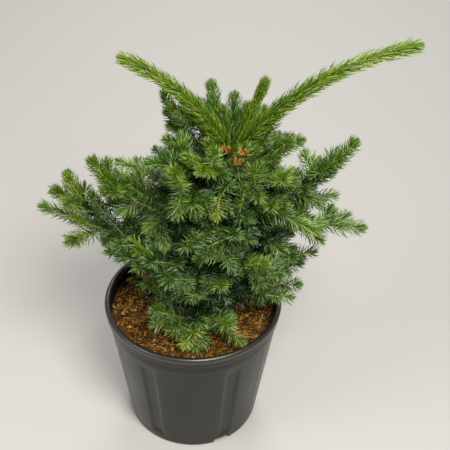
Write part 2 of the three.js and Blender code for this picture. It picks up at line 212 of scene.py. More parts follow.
def mottleGroup():  # patches and grains: a mask and a height
    scales = {"Patch Scale": 20.0, "Grain Scale": 400.0, "Grain Share": 0.4}
    t = NodeTree(bpy.data.node_groups.new("mottle", "ShaderNodeTree"), scales, {"Mask": 0.0, "Height": 0.0})
    place = t.add("ShaderNodeTexCoord").outputs["Object"]
    patches, grains = (t.put("ShaderNodeTexNoise", Vector=place, Scale=t[label], Detail=detail)
                       for label, detail in (("Patch Scale", 5), ("Grain Scale", 3)))
    return t.finish(t.put("ShaderNodeMix", Factor=t["Grain Share"], A=patches, B=grains), grains)


mottle = mottleGroup()


def mottledMaterial(name, look):  # two colours and roughnesses, with relief
    material = plainMaterial(name, look.dark, gloss=look.get("gloss", 0.5))
    t = NodeTree(material.node_tree)
    group = t.add("ShaderNodeGroup", look.patch, look.grain, look.share, node_tree=mottle.tree)
    mask, height = group.outputs
    ramp = t.add("ShaderNodeValToRGB", mask)
    for element, place, colour in zip(ramp.color_ramp.elements, look.range, (look.dark, look.light)):
        element.position, element.color = place, (*colour, 1)
    rough = t.put("ShaderNodeMapRange", mask, *look.range, *look.rough)
    bump = t.put("ShaderNodeBump", Strength=look.relief, Distance=mm, Height=height)
    shader = t.tree.nodes["Principled BSDF"]
    for label, value in (("Base Color", ramp.outputs[0]), ("Roughness", rough), ("Normal", bump)):
        t.tree.links.new(value, shader.inputs[label])
    return material


# Meshes

def newPiece(name, verts, faces, material):
    mesh = bpy.data.meshes.new(name)
    mesh.from_pydata([tuple(v) for v in verts], [], faces)
    mesh.shade_smooth()
    mesh.update()
    mesh.materials.append(material)
    return addObject(name, mesh)


def applyModifiers(piece):
    graph = bpy.context.evaluated_depsgraph_get()
    mesh = bpy.data.meshes.new_from_object(piece.evaluated_get(graph))
    piece.modifiers.clear()
    piece.data = mesh
    mesh.name = piece.name
    return piece


def settlePiece(piece, slot, *nodes):
    found = piece.data.attributes
    for label in ("size", "lean", "keep", "tint", "bloom", "radius", "twist"):
        if label in found:
            found.remove(found[label])
    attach(piece, "root")
    if nodes:
        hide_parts(*nodes)
    print(piece.name, "has", sum(len(p.vertices) - 2 for p in piece.data.polygons), "triangles")


# The growing rule of the plant's solids, repeated here

gap = 0.3
parts = Plan(walk=26, test=12, core=90, needles=5, stem=9)  # length of the stretches of each
trunk = Plan(
    foot=(0, 0, 217.3), run=(0, 76, 311, 8), length=311,
    radii=((0, 17), (0.035, 13), (0.12, 10.8), (0.4, 8.8), (0.75, 6.6), (1, 5)),
)
bough = Plan(rootRadius=4.4, tipRadius=2.9, inTrunk=12)
twig = Plan(stemRadius=1.8, coreRadius=8, stemLength=42, early=0.45, late=0.92, lateSize=0.8, inTrunk=7)
fork = Plan(
    first=0.04, reach=0.68, angle=50, angleSpread=30, rollSpread=140, curl=12,
    shortest=0.75, lengthSpread=0.5, shrink=0.3,
)
potEdge = Plan(radius=140, height=236.5, medium=217, inside=10, outside=5)

# What springs from the trunk: place up it, then heading, climb, length and curl, core's thickness,
# and number, reach and seed of side twigs
trunkSprays = {
    "shoot_long_right": (284, (0, 64, 331, -50), 0.62),
    "shoot_long_left": (301, (184, 68.5, 225, -42), 0.68),
    "shoot_upright_left": (285, (114, 50.5, 120, 10), 0.8),
    "shoots_upright_middle": (297, (83, 61, 91, 0), 0.76, 1, 60, 248),
    "shoot_upright_right": (302, (333, 68, 147, 4), 0.58),
    "upper_right": (275, (9, 17, 117, 12), 0.85, 3, 88, 100),
    "upper_right_front": (267, (332, 11.5, 114, 4), 0.85, 3, 88, 11),
    "upper_left": (260, (142, 27, 134, 10), 0.9, 4, 88, 87),
    "upper_left_steep": (272, (140, 47, 129, 0), 0.82, 2, 88, 242),
    "hanging_front": (272, (261, 8, 96, -30), 0.85, 3, 60, 150),
    "upper_front": (286, (249, 22, 117, 14), 0.85, 4, 60, 147),
    "upper_back_right": (281, (62, 16, 117, 10), 0.85, 4, 88, 200),
    "upper_back_left": (252, (98, 18.5, 137, 10), 0.85, 4, 88, 108),
}
# Each bough's place up the trunk, heading, climb and length, and the same numbers as above for its spray
boughSprays = {
    "left_mid": ((185, 205, 16, 49), (188, 16, 186, 49), 6, 60, 46),
    "front_upper_left": ((239, 221, 21, 42), (240, 24, 117, 50), 4, 88, 119),
    "left_low": ((85, 180, 19, 69), (180, 23, 213, 50), 6, 90, 157),
    "right_mid": ((185, 0, 25, 59), (0, 25, 187, 31), 6, 60, 339),
    "right_reach": ((148, 359, 17, 62), (354, 17, 167, -19), 6, 60, 5),
    "front_upper_right": ((212, 318, 24, 34), (323, 24, 98, 2), 4, 88, 164),
    "right_low": ((67, 0, 16, 50), (0, 16, 110, 0), 5, 60, 48),
    "front_right_low": ((40, 344, 16, 52), (352, 16, 112, -6), 5, 60, 1),
    "front_right_mid": ((81, 301, 35, 34), (324, 35, 116, 0), 5, 75, 78),
    "front_left_mid": ((103, 214, 22, 50), (242, 31, 118, 10), 5, 88, 232),
    "front_mid": ((164, 295, 32, 41), (280, 32, 100, 9), 5, 88, 44),
    "front_low": ((17, 296, 26, 45), (247, -1, 83, -25), 6, 88, 40),
    "front_left_low": ((25, 231, 30, 40), (230, 30, 56, -8), 5, 88, 40),
    "back_upper_left": ((202, 153, 13, 49), (156, 13, 128, -6), 5, 60, 35),
    "back_left_low": ((107, 148, 14, 54), (152, 10, 150, 12), 5, 75, 106),
    "back_right_low": ((30, 40, 13, 42), (30, 13, 143, 8), 5, 60, 32),
    "back_far_left_low": ((36, 127, 12, 42), (137, 12, 138, 8), 5, 60, 95),
    "back_low": ((56, 85, 12, 41), (83, 12, 150, 9), 5, 75, 192),
    "back_right_mid": ((111, 30, 18, 44), (28, 18, 166, 19), 5, 60, 228),
    "back_mid": ((132, 74, 15, 43), (76, 15, 163, 16), 5, 88, 4),
    "back_left_mid": ((154, 117, 13, 45), (123, 9, 150, 8), 5, 60, 117),
    "back_upper": ((202, 57, 19, 37), (53, 16, 122, 12), 5, 60, 11),
}


def unit(vector):
    return vector / np.linalg.norm(vector)


def aimed(heading, climb):
    h, c = radians(heading), radians(climb)
    return np.array((cos(h) * cos(c), sin(h) * cos(c), sin(c)))


def anglesOf(aim):
    return degrees(atan2(aim[1], aim[0])), degrees(asin(aim[2]))


def walk(start, heading, climb, length, curl=0):
    steps = max(3, floor(length / parts.walk + 0.5))
    points = [np.array(start, float)]
    for i in range(steps):
        points.append(points[-1] + aimed(heading, climb + curl * (i + 0.5) / steps) * length / steps)
    return Plan(points=points, length=length)


def stretchOn(run, share):  # its start, its way, and how far along it the share is
    along = min(max(share, 0), 1) * (len(run.points) - 1)
    i = min(int(along), len(run.points) - 2)
    return run.points[i], run.points[i + 1] - run.points[i], along - i


def placeOn(run, share):
    start, way, along = stretchOn(run, share)
    return start + way * along


def headingOn(run, share):
    return unit(stretchOn(run, share)[1])


def sideRun(run, share, roll, away, length, curl):  # leaves a run at a share of its length
    along = headingOn(run, share)
    steep = abs(headingOn(run, 0.5)[2]) > 0.9
    side = unit(np.cross(along, (1, 0, 0) if steep else (0, 0, 1)))
    up = unit(np.cross(side, along))
    roll, away = radians(roll), radians(away)
    aim = along * cos(away) + (up * cos(roll) + side * sin(roll)) * sin(away)
    return walk(placeOn(run, share), *anglesOf(aim), length, curl)


def radiusOn(rings, share):
    return float(np.interp(share, *zip(*rings)))


def makeRandom(seed):
    state = [seed]

    def draw():
        state[0] = (state[0] * 1664525 + 1013904223) % 4294967296
        return state[0] / 4294967296

    draw()
    draw()
    return draw


def between(ends, share):
    return ends[0] + (ends[1] - ends[0]) * share


def coreRings(length, slim):
    core, late = twig.coreRadius * slim, twig.late
    early = min(twig.early, twig.stemLength / length)
    steps = floor(length / parts.core + 0.5)
    middle = [(early + (late - early) * i / steps, core) for i in range(1, steps)]
    return [(0, twig.stemRadius), (early, core), *middle, (late, core * twig.lateSize), (1, 0)]


def stretchesOf(run, rings, owner, skip=0):
    count = max(4, floor(run.length / parts.test + 0.5))
    found = []
    for low, high in ((i / count, (i + 1) / count) for i in range(count)):
        if high * run.length > skip:
            start = placeOn(run, max(low, skip / run.length))
            found.append((start, placeOn(run, high), max(radiusOn(rings, low), radiusOn(rings, high)), owner))
    return found


def distances(start, end, starts, ends):  # from one stretch to each of many
    u, v, w = end - start, ends - starts, start - starts
    uu, uv, vv = u @ u, v @ u, np.einsum("ij,ij->i", v, v)
    uw, vw = w @ u, np.einsum("ij,ij->i", v, w)
    spread, tiny = uu * vv - uv * uv, 1e-9
    s = np.where(spread > tiny, np.clip((uv * vw - vv * uw) / np.maximum(spread, tiny), 0, 1), 0)
    t = np.clip((uv * s + vw) / vv, 0, 1)
    s = np.clip((uv * t - uw) / uu, 0, 1)
    return np.linalg.norm(w + s[:, None] * u - t[:, None] * v, axis=1)


def isClear(stretch, taken):
    start, end, radius, owner = stretch
    starts, ends, radii = (np.array(values) for values in list(zip(*[t for t in taken if t[3] != owner]))[:3])
    return bool(np.all(distances(start, end, starts, ends) > radius + radii + 2 * gap))


def isOutsidePot(point, radius):
    reach = hypot(point[0], point[1])
    if reach < potEdge.radius - potEdge.inside:
        return point[2] - radius > potEdge.medium + gap
    return reach > potEdge.radius + potEdge.outside or point[2] - radius > potEdge.height + gap


def growRuns(start, run, twigs=0, reach=0, seed=1):  # the leader, then its side twigs
    draw = makeRandom(seed)
    runs = [walk(start, *run)]
    for i in range(twigs):
        share = fork.first + fork.reach * (i + draw()) / twigs
        roll = (1 if i % 2 == 0 else -1) * (90 + fork.rollSpread * (draw() - 0.5))
        away = fork.angle + fork.angleSpread * (draw() - 0.5)
        length = reach * (fork.shortest + fork.lengthSpread * draw()) * (1 - fork.shrink * share)
        runs.append(sideRun(runs[0], share, roll, away, length, fork.curl))
    return runs


def growPlant():
    trunkRun = walk(trunk.foot, *trunk.run)
    taken = stretchesOf(trunkRun, trunk.radii, "trunk")
    boughs, masses = {}, {}
    for name, ((up, *limb), run, *twigs) in boughSprays.items():
        branch = walk(placeOn(trunkRun, up / trunk.length), *limb)
        rings = ((0, bough.rootRadius), (1, bough.tipRadius))
        taken += stretchesOf(branch, rings, "bough_" + name, bough.inTrunk)
        boughs["bough_" + name] = branch
        masses[name] = Plan(start=branch.points[-1], run=run, slim=1, twigs=twigs, inside=0)
    for name, (up, run, slim, *twigs) in trunkSprays.items():
        start = placeOn(trunkRun, up / trunk.length)
        masses[name] = Plan(start=start, run=run, slim=slim, twigs=twigs, inside=twig.inTrunk)
    for name, mass in masses.items():
        leader = walk(mass.start, *mass.run)
        taken += stretchesOf(leader, coreRings(leader.length, mass.slim), name, mass.inside)
    for name, mass in masses.items():
        leader, *others = growRuns(mass.start, mass.run, *mass.twigs)
        mass.runs = [leader]
        for run in others:
            stretches = stretchesOf(run, coreRings(run.length, mass.slim), name)
            if all(isClear(s, taken) and isOutsidePot(s[1], s[2]) for s in stretches):
                taken += stretches
                mass.runs.append(run)
    return trunkRun, boughs, masses


trunkRun, boughs, masses = growPlant()
print("the rule grew", sum(len(m.runs) for m in masses.values()), "runs of twigs")


# Twigs set by the photo, and finer twigs on each run

shortRuns = {  # side twigs that would hide others: run, share shown
    "front_low": {3: 0.4, 5: 0.35}, "front_mid": {3: 0.6, 2: 0.5}, "front_right_low": {3: 0.7, 4: 0.55, 5: 0.6},
    "right_low": {3: 0.5},
}
finer = Plan(  # turn and size of finer twigs, and where they stand on each kind of mass
    angle=(42, 58), rollSpread=60, curl=10, room=3, roomFrom=0.35, tipRadius=8, shrink=(1.15, 0.6),
    shortest=40, lastShare=0.78, placedCurl=8, seed=12,
    crown=Plan(first=0.36, spacing=34, length=(36, 52)),
    sides=Plan(first=0.16, spacing=27, length=(40, 60)),
    open=Plan(first=0.3, spacing=38, length=(34, 50)),
    openMasses=("front_low", "front_left_low", "left_low"),
)
placedTwigs = {  # run that carries each, how far along, and its tip
    "left_low": ((0, 0.45, (-223, -25, 436)), (0, 0.3, (-146, -38, 470)), (0, 0.36, (-176, -40, 428)),
                 (0, 0.12, (-127, 24, 424))),
    "left_mid": ((0, 0.15, (-104, 12, 408)), (0, 0.1, (-78, 22, 396))),
    "shoots_upright_middle": ((0, 0.3, (80, 34, 580)), (0, 0.2, (40, 26, 580))),
    "right_mid": ((0, 0.33, (202, -20, 506)),),
    "front_low": ((1, 0.2, (81, -108, 243)), (0, 0.45, (22, -114, 241)), (2, 0.35, (-64, -80, 249))),
}
inner = Plan(  # old shaded twigs about the trunk and the boughs
    count=150, shares=(0.06, 0.84), length=(62, 106), climb=(5, 35), curl=12, turn=137.5,
    turnSpread=40, boughCount=6, boughShares=(0.35, 0.95), boughLength=(45, 78), boughAway=50, tipRadius=10, seed=31,
)
stubs = Plan(foot=0.93, curl=10, tips=((47, -30, 545), (70, -60, 562), (65, -64, 549)))  # they carry clusters of buds


def growFiner(run, plan, draw, starts, ends):
    found = []
    first, last = plan.first, finer.lastShare
    count = floor(run.length * (last - first) / plan.spacing)
    for i in range(count):
        share = first + (last - first) * (i + draw()) / count
        roll = (90 if i % 2 else -90) + finer.rollSpread * (draw() - 0.5)
        away = between(finer.angle, draw())
        length = between(plan.length, draw()) * (finer.shrink[0] - finer.shrink[1] * share)
        small = sideRun(run, share, roll, away, length, finer.curl)
        tip = small.points[-1]
        reach = distances(placeOn(small, finer.roomFrom), tip, starts, ends)
        if share < run.get("shown", 1) and isOutsidePot(tip, finer.tipRadius) and reach.min() > finer.room:
            found.append(small)
    return found


def runTo(start, tip, curl):  # ends at a known tip
    way = np.array(tip) - start
    length = float(np.linalg.norm(way))
    heading, climb = anglesOf(way / length)
    return walk(start, heading, climb - curl / 2, length, curl)


def growAllFiner():
    draw = makeRandom(finer.seed)
    lines = [pair for m in masses.values() for r in m.runs for pair in zip(r.points, r.points[1:])]
    starts, ends = (np.array(points) for points in zip(*lines))
    for name, mass in masses.items():
        plan = finer["crown" if name in trunkSprays else "open" if name in finer.openMasses else "sides"]
        mass.finer = []
        for run in mass.runs:
            if mass.twigs and run.length > finer.shortest:
                mass.finer += growFiner(run, plan, draw, starts, ends)
    for name, twigs in placedTwigs.items():
        runs = masses[name].runs
        masses[name].finer += [runTo(placeOn(runs[i], share), tip, finer.placedCurl) for i, share, tip in twigs]


def growInner():
    draw = makeRandom(inner.seed)
    found = []
    for i in range(inner.count):
        start = placeOn(trunkRun, between(inner.shares, (i + draw()) / inner.count))
        climb, length = between(inner.climb, draw()), between(inner.length, draw())
        heading = inner.turn * i + inner.turnSpread * draw()
        found.append(walk(start, heading, climb, length, inner.curl))
    for run in boughs.values():
        for i in range(inner.boughCount):
            heading = anglesOf(headingOn(run, 0.5))[0] + inner.boughAway * (1 if i % 2 else -1)
            length, start = between(inner.boughLength, draw()), placeOn(run, between(inner.boughShares, draw()))
            heading += inner.turnSpread * (draw() - 0.5)
            found.append(walk(start, heading, between(inner.climb, draw()), length, inner.curl))
    return [run for run in found if isOutsidePot(run.points[-1], inner.tipRadius)]


for name, shares in shortRuns.items():
    for i, share in shares.items():
        masses[name].runs[i].shown = share
growAllFiner()
innerRuns = growInner()
budStubs = [runTo(placeOn(trunkRun, stubs.foot), tip, stubs.curl) for tip in stubs.tips]
print("and", sum(len(m.finer) for m in masses.values()), "finer twigs and", len(innerRuns), "inner ones")


# Strands: lines with values along them, for needles and stems

def smoothPath(run, step):  # an even curve through its points
    knots = run.points[:1] + run.points + run.points[-1:]
    path = []
    for share in np.linspace(0, 1, max(3, round(run.length / step)) + 1):
        along = share * (len(knots) - 3)
        i = min(int(along), len(knots) - 4)
        f = along - i
        a, b, c, d = knots[i:i + 4]
        path.append(0.5 * (2 * b + (c - a) * f + (2 * a - 5 * b + 4 * c - d) * f ** 2
                           + (3 * b - a - 3 * c + d) * f ** 3))
    return np.array(path)


class Strands:
    def __init__(self):
        self.points, self.edges, self.values = [], [], {}

    def add(self, points, **values):  # a value is one number, or one for each point
        first = len(self.points)
        self.points += [tuple(p * mm) for p in points]
        self.edges += [(first + i, first + i + 1) for i in range(len(points) - 1)]
        for label, value in values.items():
            self.values.setdefault(label, []).extend(np.broadcast_to(value, len(points)))

    def piece(self, name, tree, slot, *nodes, **values):
        mesh = bpy.data.meshes.new(name)
        mesh.from_pydata(self.points, self.edges, [])
        for label, numbers in self.values.items():
            mesh.attributes.new(label, "FLOAT", "POINT").data.foreach_set("value", numbers)
        settlePiece(runTree(addObject(name, mesh), tree, **values), slot, *nodes)


def strandTree(name, sides, materials):  # a closed tube along each strand
    t = shapeTree(name, {"Sides": sides})
    curve = t.put("MeshToCurve", t["Geometry"])
    ring = t.put("CurvePrimitiveCircle", t["Sides"], Radius=1.0)
    tube = t.put("CurveToMesh", curve, ring, Scale=t.named("radius"), Fill_Caps=True)
    return t.deal(t.put("SetShadeSmooth", tube), materials)


# Needles

greens = {
    "lime": (0.21, 0.33, 0.012), "leaf": (0.10, 0.20, 0.011), "green": (0.042, 0.107, 0.009),
    "blue": (0.018, 0.055, 0.009), "deep": (0.008, 0.023, 0.003),
}
paleGreens = {  # painted highlight: the faces that look up, mixed with the needles' waxy bloom
    "lime": (0.43, 0.53, 0.14), "leaf": (0.29, 0.42, 0.12), "green": (0.22, 0.345, 0.12),
    "blue": (0.235, 0.355, 0.185), "deep": (0.07, 0.125, 0.045),
}
# Pale Limit and the jitter pick the up-facing faces that get the pale tints: painted highlight mixed with waxy bloom
needleForm = {
    "Length": 0.018, "Width": 0.00125, "Foot": 0.32, "Rings": 2, "Swell": 2.3, "Bend": 0.2,
    "Spacing": 0.0005, "Turn": 137.5, "Comb": 0.3, "Bare Below": 0.45, "Turn Jitter": 0.2, "Lean Jitter": 0.12,
    "Size Jitter": 0.1, "Pale Limit": 0.5, "Highlight And Bloom Jitter": 0.6, "Tint Jitter": 0.8, "Last Tint": 4.0, "Seed": 3,
}


def table(labels, rows):
    return {name: Plan(zip(labels.split(), row)) for name, row in rows.items()}


# tints are places in those lists: of the oldest needles, of those next to the new, and of the new
looks = table("tints lean Bend Spacing Length Width Comb Rings Foot", {
    "fresh": ((1.25, 0.75, 0.7), 0.84, 0.46, 0.0003, 0.0225, 0.0014, 0.3),
    "top": ((2.3, 1.7, 1.0), 0.92, 0.28, 0.00042, 0.0188, 0.00145, 0.58),
    "side": ((3.0, 2.3, 1.2), 0.9, 0.32, 0.00046, 0.0222, 0.0015, 0.56),
    "front": ((3.6, 2.8, 1.8), 0.93, 0.2, 0.00058, 0.0205, 0.00155, 0.62),
    "low": ((3.5, 2.8, 1.8), 0.95, 0.14, 0.0006, 0.021, 0.00155, 0.6),
    "back": ((3.1, 2.5, 1.6), 0.9, 0.25, 0.00047, 0.0178, 0.0014, 0.45),
    # the darkest tints, down to the new growth: old needles, and painted shade of the crown's inside
    "inner": ((3.9, 3.8, 3.4), 1.0, 0.1, 0.0006, 0.0185, 0.0019, 0.2, 1, 0.85),
})
# The needles at a tip: how far they are pulled back, then their strands
tipForms = table("back length strands lean size", {
    "brush": (0.72, 5, 4, (60, 10), (0.92, 0.62)),
    "bud": (0.62, 5, 9, (64, 12), (0.8, 0.56)),
})
# Length of this year's growth, size, lean of old and new needles from foot to tip, share of the old ones kept
# and their size from the foot on
shootForms = table("new size oldLean newLean keep oldSize endSize tip", {
    "long": (60, 1.0, (68, 65), (65, 64), (0.7, 1.0), (1.2, 1.2), 0.88, "bud"),
    "upright": (40, 0.86, (64, 62), (62, 60), (1.0, 1.0), (0.9, 0.9), 0.9, "bud"),
    "leader": (58, 1.0, (74, 71), (67, 62), (0.5, 0.85), (0.7, 0.9), 0.88, "bud"),
    "side": (46, 0.97, (72, 71), (70, 62), (0.5, 0.8), (0.7, 0.9), 0.96, "brush"),
    "finer": (32, 0.92, (70, 68), (67, 58), (0.6, 0.85), (0.7, 0.9), 0.96, "brush"),
    "inner": (10, 1.0, (76, 72), (68, 54), (0.7, 0.9), (0.7, 0.9), 0.96, "brush"),
})


def namesFrom(start):
    return [name for name in masses if name.startswith(start)]


needlePieces = {  # look, and the masses that it stands for
    "long_shoots": ("fresh", namesFrom("shoot")),
    "upper": ("top", namesFrom("upper")),
    "left": ("side", ("left_mid", "left_low", "front_upper_left")),
    "right": ("side", ("right_mid", "right_reach", "front_upper_right")),
    "front": ("front", ("hanging_front", "front_mid", "front_left_mid", "front_right_mid")),
    "low": ("low", ("front_low", "front_left_low", "front_right_low", "right_low")),
    "back_upper": ("back", ("back_upper", "back_upper_left", "back_mid", "back_left_mid", "back_right_mid")),
    "back_low": ("back", ("back_low", "back_left_low", "back_right_low", "back_far_left_low")),
}
tintShifts = {  # how much greener a mass's leader is, its other runs, and single ones
    "shoot_upright_left": (0.6, 0.5), "shoots_upright_middle": (0.8, 0.7), "shoot_upright_right": (-0.6, 0.3),
    "upper_left": (0.2, 0.3), "upper_left_steep": (0.2, 0.2), "upper_right": (0.3, 0.3),
    "upper_front": (-0.5, 0.1), "front_upper_left": (-0.8, 0.3), "hanging_front": (-1.8, 0.0),
    "left_low": (-0.4, -0.3), "left_mid": (-0.3, 0.1), "right_mid": (-0.3, 0.2),
    "right_reach": (0.3, 0.3), "front_low": (-1.9, -0.4, {3: -1.0, 5: -1.6}),
    "front_right_mid": (-1.7, 0.1, {1: -1.2}), "front_left_mid": (0, 0, {5: -1.0}),
}


def needleTree(name, values, materials, pale=()):
    t = shapeTree(name, values)
    length = t["Length"]
    # One needle: a spindle along +Z that bends towards +Y
    foot = t.times(t["Width"], t["Foot"])
    cone = t.put("MeshCone", 3, t["Rings"], Radius_Top=0.0, Radius_Bottom=foot, Depth=length)
    cone = t.put("Transform", cone, Rotation=(0, 0, radians(30)))
    x, y, z = t.parts(t.put("InputPosition"))
    middle = t.calc("SINE", t.times(t.calc("DIVIDE", z, length), pi))
    swell = t.scaled(middle, t["Swell"], 1.0)
    high = t.scaled(middle, t.times(length, 0.14), z)
    share = t.calc("DIVIDE", high, length)
    bend = t.times(t.times(share, share), t.times(t["Bend"], length))
    needle = t.put("SetPosition", cone, Position=t.vector(t.times(x, swell), t.scaled(y, swell, bend), high))
    # A spiral up each strand, wide to the sides and with fewer below
    curve = t.put("ResampleCurve", t.put("MeshToCurve", t["Geometry"]), Length=t["Spacing"], mode="LENGTH")
    spots = t.add("CurveToPoints", t.put("SetCurveNormal", curve, mode="Z_UP"), mode="EVALUATED")
    turns, leans, tints, sizes, highlightAndBloomDraws = (t.chance(-1.0, 1.0, i) for i in range(5))
    angle = t.scaled(turns, t["Turn Jitter"], t.times(t.put("InputIndex"), t.calc("RADIANS", t["Turn"])))
    wide = t.calc("ABSOLUTE", t.calc("SINE", angle))
    lean = t.scaled(leans, t["Lean Jitter"], t.named("lean"))
    lean = t.times(lean, t.scaled(wide, t["Comb"], t.calc("SUBTRACT", 1.0, t.times(t["Comb"], 0.6))))
    turned = spots.outputs["Rotation"]
    for axis, amount in (((0, 0, 1), angle), ((1, 0, 0), lean)):
        spin = t.put("FunctionNodeAxisAngleToRotation", axis, amount)
        turned = t.put("FunctionNodeRotateRotation", turned, spin, rotation_space="LOCAL")
    tint = t.scaled(tints, t["Tint Jitter"], t.named("tint"))
    tint = t.calc("ROUND", t.calc("MINIMUM", t.calc("MAXIMUM", tint, 0.0), t["Last Tint"]))
    upward = t.parts(t.put("FunctionNodeRotateVector", (0, 0, 1), turned))[2]
    below = t.times(t.calc("MAXIMUM", t.times(upward, -1.0), 0.0), t["Bare Below"])
    cloud = t.store(spots.outputs[0], "twist", turned, "QUATERNION")
    # a random share for each needle which, with how far a face looks up, picks the pale tints: painted highlight mixed
    # with bloom
    for label, value in (("tint", tint), ("bloom", t.times(highlightAndBloomDraws, t["Highlight And Bloom Jitter"])),
                         ("keep", t.calc("SUBTRACT", t.named("keep"), below))):
        cloud = t.store(cloud, label, value)
    missing = t.calc("GREATER_THAN", t.chance(0.0, 1.0, 5), t.named("keep"))
    cloud = t.put("DeleteGeometry", cloud, missing, domain="POINT")
    size = t.times(t.named("size"), t.scaled(sizes, t["Size Jitter"], 1.0))
    turned = t.named("twist", "QUATERNION")
    return t.deal(t.put("InstanceOnPoints", cloud, Instance=needle, Rotation=turned, Scale=size), materials, pale)


def addNeedles(strands, run, form, look, drift):  # old stretch, new growth and tip
    path = smoothPath(run, parts.needles)
    end = tipForms[form.tip]
    last = 1 - end.back * look.Length * form.size / (mm * run.length)
    shares = np.linspace(0, 1, len(path)) * last
    path = np.array([np.interp(shares * (len(path) - 1), range(len(path)), axis) for axis in path.T]).T
    split = int(round(max(1 - form.new / run.length, 0.08) * (len(path) - 1)))
    oldest, older, newest = (tint + drift for tint in look.tints)

    def leanOf(angles):
        return look.lean * np.radians(angles)

    if split > 1:
        s = shares[:split + 1] / shares[split]
        strands.add(
            path[:split + 1], size=np.interp(s, (0, 0.3, 1), (*form.oldSize, 0.95)) * form.size,
            lean=leanOf(np.interp(s, (0, 1), form.oldLean)), tint=np.interp(s, (0, 1), (oldest, older)),
            keep=np.interp(s, (0, 0.3), form.keep))
    s = (shares[split:] - shares[split]) / (shares[-1] - shares[split])
    strands.add(
        path[split:], size=np.interp(s, (0, 0.2, 0.8, 1), (0.8, 1, 1, form.endSize)) * form.size,
        lean=leanOf(np.interp(s, (0, 1), form.newLean)), tint=np.interp(s, (0, 0.4), (older, newest)), keep=1.0)
    ahead = headingOn(run, 1) * end.length
    for i in range(end.strands):
        foot = path[-1] + ahead * (i - 1) * 0.05
        strands.add(np.array((foot, foot + ahead)), size=np.array(end.size) * form.size,
                    lean=leanOf(end.lean), tint=newest, keep=1.0)
    return path[split]


def cutShort(run):
    share = run.get("shown", 1)
    if share == 1:
        return run
    return Plan(points=[placeOn(run, share * i / 4) for i in range(5)], length=run.length * share)


def runsOf(name):  # with the form of each and the shift of its tint
    first = "long" if name.startswith("shoot_long") else "upright" if name.startswith("shoot") else "leader"
    own, others, *single = tintShifts.get(name, (0, 0))
    shifts = single[0] if single else {}
    leader, *sides = masses[name].runs
    found = [(leader, first, own)] + [(cutShort(r), "side", shifts.get(i, others)) for i, r in enumerate(sides, 1)]
    return found + [(run, "finer", others) for run in masses[name].finer]


tints = plainMaterials("needle_", greens, 0.45, 0.2)
# pale tints for the faces that look up: painted highlight mixed with the needles' waxy bloom
paleTints = plainMaterials("needle_pale_", paleGreens, 0.55, 0.35)
needles = needleTree("needles", needleForm, tints, paleTints)
scars = []  # where this year's growth starts
driftSize, drift = 0.9, makeRandom(11)  # how far the tint of a twig strays


def makeNeedles(title, look, grown, names=()):
    strands = Strands()
    for run, form, shift in grown:
        split = addNeedles(strands, run, shootForms[form], look, shift + driftSize * (drift() - 0.5))
        scars.append((split, headingOn(run, 0.5), form))
    slot = "new_shoots" if title == "long_shoots" else "foliage"
    nodes = [name if name.startswith("shoot") else "foliage_" + name for name in names]
    strands.piece("needles_" + title, needles, slot, *nodes, **look)


for title, (look, names) in needlePieces.items():
    makeNeedles(title, looks[look], [run for name in names for run in runsOf(name)], names)
makeNeedles("inner", looks["inner"], [(run, "inner", 0) for run in innerRuns])
print("needles grown")


# Woody twigs and the bud scales at their joints

woodColours = {
    "young": (0.46, 0.52, 0.06), "tan": (0.26, 0.21, 0.05), "brown": (0.14, 0.08, 0.03), "old": (0.09, 0.06, 0.032),
}
woodForms = {  # radius and colour at foot and tip, and reach of the bud scales
    "long": ((2.1, 1.3), (0.4, 0), 5), "upright": ((1.5, 0.8), (0, 0), 4), "leader": ((2.4, 0.9), (1.6, 0), 7),
    "side": ((1.3, 0.7), (0.9, 0), 5), "finer": ((0.9, 0.6), (0.4, 0), 0), "inner": ((1.6, 0.8), (3, 2), 0),
}
scaleForm = {
    **needleForm, "Length": 0.0048, "Width": 0.0024, "Foot": 0.45, "Bend": 0.3, "Spacing": 0.0007,
    "Comb": 0.0, "Bare Below": 0.0, "Last Tint": 2.0, "Seed": 9,
}
scaleColours = {"rust": (0.31, 0.145, 0.018), "amber": (0.40, 0.235, 0.04), "brown": (0.18, 0.10, 0.03)}
collar = Plan(feet=(7, 8, 9), length=5, size=1.5, lean=40, tint=0.8)
crownBud = Plan(foot=0.965, size=1.6, leans=(30, 38, 46, 54), tint=0.8)
cluster = Plan(
    count=5, turn=2.4, shift=(0, -0.3, 0), spread=2.6, drop=(0, 0, 0.8), reach=2.4, rise=(0, 0, 3.6),
    size=(1.2, 0.9), lean=(58, 14), tints=(0.1, 0.25), keep=0.8,
)
scar = Plan(size=1, lean=34, tint=1)


def makeTwigs():
    strands = Strands()
    grown = [found for name in masses for found in runsOf(name)]
    for run, form, _ in grown + [(run, "inner", 0) for run in innerRuns + budStubs]:
        radii, tones, _ = woodForms[form]
        path = smoothPath(run, parts.stem)
        shares = np.linspace(0, 1, len(path))
        tint = np.round(np.interp(shares, (0, 0.7), tones))
        strands.add(path, radius=np.interp(shares, (0, 1), radii) * mm, tint=tint)
    tree = strandTree("twigs", 6, plainMaterials("wood_", woodColours, 0.65))
    strands.piece("twigs", tree, "bark")


